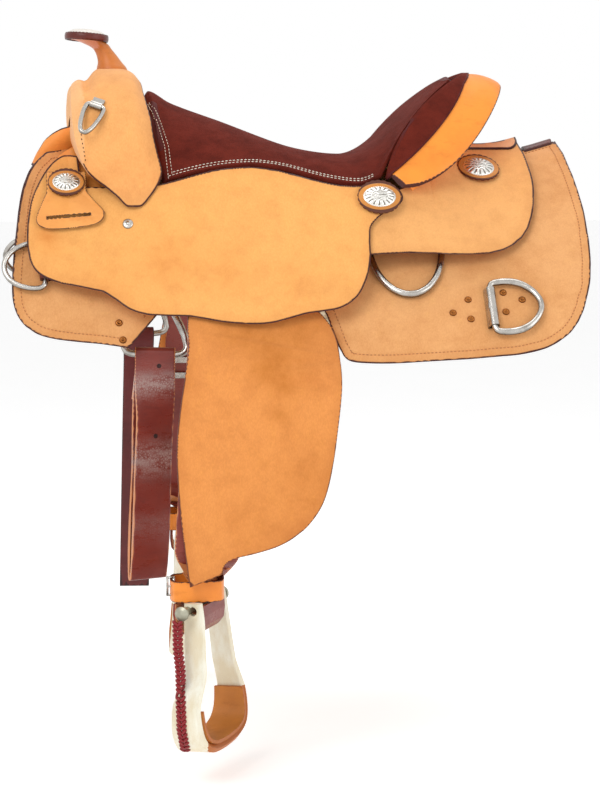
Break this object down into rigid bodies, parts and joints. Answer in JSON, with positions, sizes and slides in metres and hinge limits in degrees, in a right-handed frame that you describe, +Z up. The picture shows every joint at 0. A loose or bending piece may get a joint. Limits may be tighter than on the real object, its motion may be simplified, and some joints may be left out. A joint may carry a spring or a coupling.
{
  "type": "western saddle",
  "caption": "Rough-out western training saddle with horn, suede seat, skirts, swinging fenders and stirrups, rigging dees and a latigo strap.",
  "frame": {"origin": "on the saddle's midline, on the level of the horse's back under the middle of the seat", "axes": "+Z up and the longest way through the saddle, -X to the horn and the horse's head, +X to the cantle, -Y to the rider's left, which is the side in the picture"},
  "size_m": [0.722, 0.6573, 0.8606],
  "materials": {
    "rough_leather": "natural tan leather, flesh side out",
    "smooth_leather": "smooth oiled tan leather",
    "suede": "dark brown suede over padding",
    "latigo_leather": "burgundy latigo leather",
    "stainless": "polished stainless steel",
    "silver": "bright silver-coloured concho with engraved border",
    "rawhide": "cream rawhide, varnished",
    "fleece": "cream woolly fleece",
    "fibreglass": "moulded ground seat",
    "tree_wood": "covered wooden tree",
    "edge_leather": "dark brown lace"
  },
  "bodies": {
    "saddle": {"breast_dee_strap_left": "latigo_leather", "breast_dee_strap_right": "latigo_leather", "cantle_cover": "smooth_leather", "concho_keeper": "silver", "concho_rear_left": "silver", "concho_rear_right": "silver", "concho_seat_left": "silver", "concho_seat_right": "silver", "fleece_left": "fleece", "fleece_right": "fleece", "fork_dee_clip_left": "smooth_leather", "fork_dee_clip_right": "smooth_leather", "ground_seat": "fibreglass", "horn": "smooth_leather", "horn_cap_binding": "edge_leather", "latigo_keeper_left": "smooth_leather", "rear_dee_strap_left": "latigo_leather", "rear_dee_strap_right": "latigo_leather", "rear_jockey_left": "rough_leather", "rear_jockey_right": "rough_leather", "rigging_dee_left": "stainless", "rigging_dee_right": "stainless", "seat_cushion": "suede", "seat_jockey_left": "rough_leather", "seat_jockey_right": "rough_leather", "skirt_dee_clip_left": "stainless", "skirt_dee_clip_right": "stainless", "skirt_lacing": "edge_leather", "skirt_left": "rough_leather", "skirt_right": "rough_leather", "swell_cover": "rough_leather", "tree_bar_left": "tree_wood", "tree_bar_right": "tree_wood", "tree_cantle": "tree_wood", "tree_fork": "tree_wood"},
    "fender_left": {"fender_left": "rough_leather", "stirrup_leather_left": "latigo_leather", "leather_buckle_left": "stainless", "hobble_strap_left": "smooth_leather"},
    "stirrup_left": {"stirrup_frame_left": "rawhide", "stirrup_tread_left": "smooth_leather", "stirrup_bolt_left": "stainless"},
    "rear_dee_left": {"rear_dee_left": "stainless"},
    "breast_dee_left": {"breast_dee_left": "stainless"},
    "skirt_dee_left": {"skirt_dee_left": "stainless"},
    "fork_dee_left": {"fork_dee_left": "stainless"},
    "fender_right": {"fender_right": "rough_leather", "stirrup_leather_right": "latigo_leather", "leather_buckle_right": "stainless", "hobble_strap_right": "smooth_leather"},
    "stirrup_right": {"stirrup_frame_right": "rawhide", "stirrup_tread_right": "smooth_leather", "stirrup_bolt_right": "stainless"},
    "rear_dee_right": {"rear_dee_right": "stainless"},
    "breast_dee_right": {"breast_dee_right": "stainless"},
    "skirt_dee_right": {"skirt_dee_right": "stainless"},
    "fork_dee_right": {"fork_dee_right": "stainless"},
    "latigo": {"latigo": "latigo_leather"},
    "off_billet": {"off_billet": "latigo_leather"}
  },
  "joints": [
    {"name": "fender_swing_left", "type": "hinge", "parent": "saddle", "child": "fender_left", "pos_m": [-0.112, -0.131, -0.04], "axis": [-0.0599, -0.938, 0.3414], "range_deg": [-10, 15]},
    {"name": "fender_swing_right", "type": "hinge", "parent": "saddle", "child": "fender_right", "pos_m": [-0.112, 0.131, -0.04], "axis": [0.0599, -0.938, -0.3414], "range_deg": [-10, 15]},
    {"name": "stirrup_swing_left", "type": "hinge", "parent": "fender_left", "child": "stirrup_left", "pos_m": [-0.151, -0.258, -0.486], "axis": [0.4836, 0.8746, 0.0338], "range_deg": [-50, 50]},
    {"name": "stirrup_swing_right", "type": "hinge", "parent": "fender_right", "child": "stirrup_right", "pos_m": [-0.132, 0.258, -0.486], "axis": [0.0698, 0.9976, 0], "range_deg": [-50, 50]},
    {"name": "rear_dee_flip_left", "type": "hinge", "parent": "saddle", "child": "rear_dee_left", "pos_m": [0.111, -0.1381, -0.062], "axis": [-0.9971, 0.0572, -0.0495], "range_deg": [0, 15]},
    {"name": "breast_dee_flip_left", "type": "hinge", "parent": "saddle", "child": "breast_dee_left", "pos_m": [-0.331, -0.1578, -0.089], "axis": [-0.1113, 0.4383, 0.8919], "range_deg": [0, 15]},
    {"name": "skirt_dee_flip_left", "type": "hinge", "parent": "saddle", "child": "skirt_dee_left", "pos_m": [0.207, -0.2114, -0.141], "axis": [0.0154, -0.5516, -0.834], "range_deg": [0, 90]},
    {"name": "fork_dee_flip_left", "type": "hinge", "parent": "saddle", "child": "fork_dee_left", "pos_m": [-0.266, -0.151, 0.1008], "axis": [-0.923, 0.2236, 0.3132], "range_deg": [0, 90]},
    {"name": "rear_dee_flip_right", "type": "hinge", "parent": "saddle", "child": "rear_dee_right", "pos_m": [0.111, 0.1381, -0.062], "axis": [0.9971, 0.0572, 0.0495], "range_deg": [0, 15]},
    {"name": "breast_dee_flip_right", "type": "hinge", "parent": "saddle", "child": "breast_dee_right", "pos_m": [-0.331, 0.1578, -0.089], "axis": [0.1113, 0.4383, -0.8919], "range_deg": [0, 15]},
    {"name": "skirt_dee_flip_right", "type": "hinge", "parent": "saddle", "child": "skirt_dee_right", "pos_m": [0.207, 0.2114, -0.141], "axis": [-0.0154, -0.5516, 0.834], "range_deg": [0, 90]},
    {"name": "fork_dee_flip_right", "type": "hinge", "parent": "saddle", "child": "fork_dee_right", "pos_m": [-0.266, 0.151, 0.1008], "axis": [0.923, 0.2236, -0.3132], "range_deg": [0, 90]},
    {"name": "latigo_swing", "type": "hinge", "parent": "saddle", "child": "latigo", "pos_m": [-0.199, -0.1765, -0.196], "axis": [-0.9967, 0.0771, 0.0234], "range_deg": [-20, 45]},
    {"name": "billet_swing", "type": "hinge", "parent": "saddle", "child": "off_billet", "pos_m": [-0.199, 0.1765, -0.196], "axis": [0.9967, 0.0771, -0.0234], "range_deg": [-20, 45]}
  ]
}
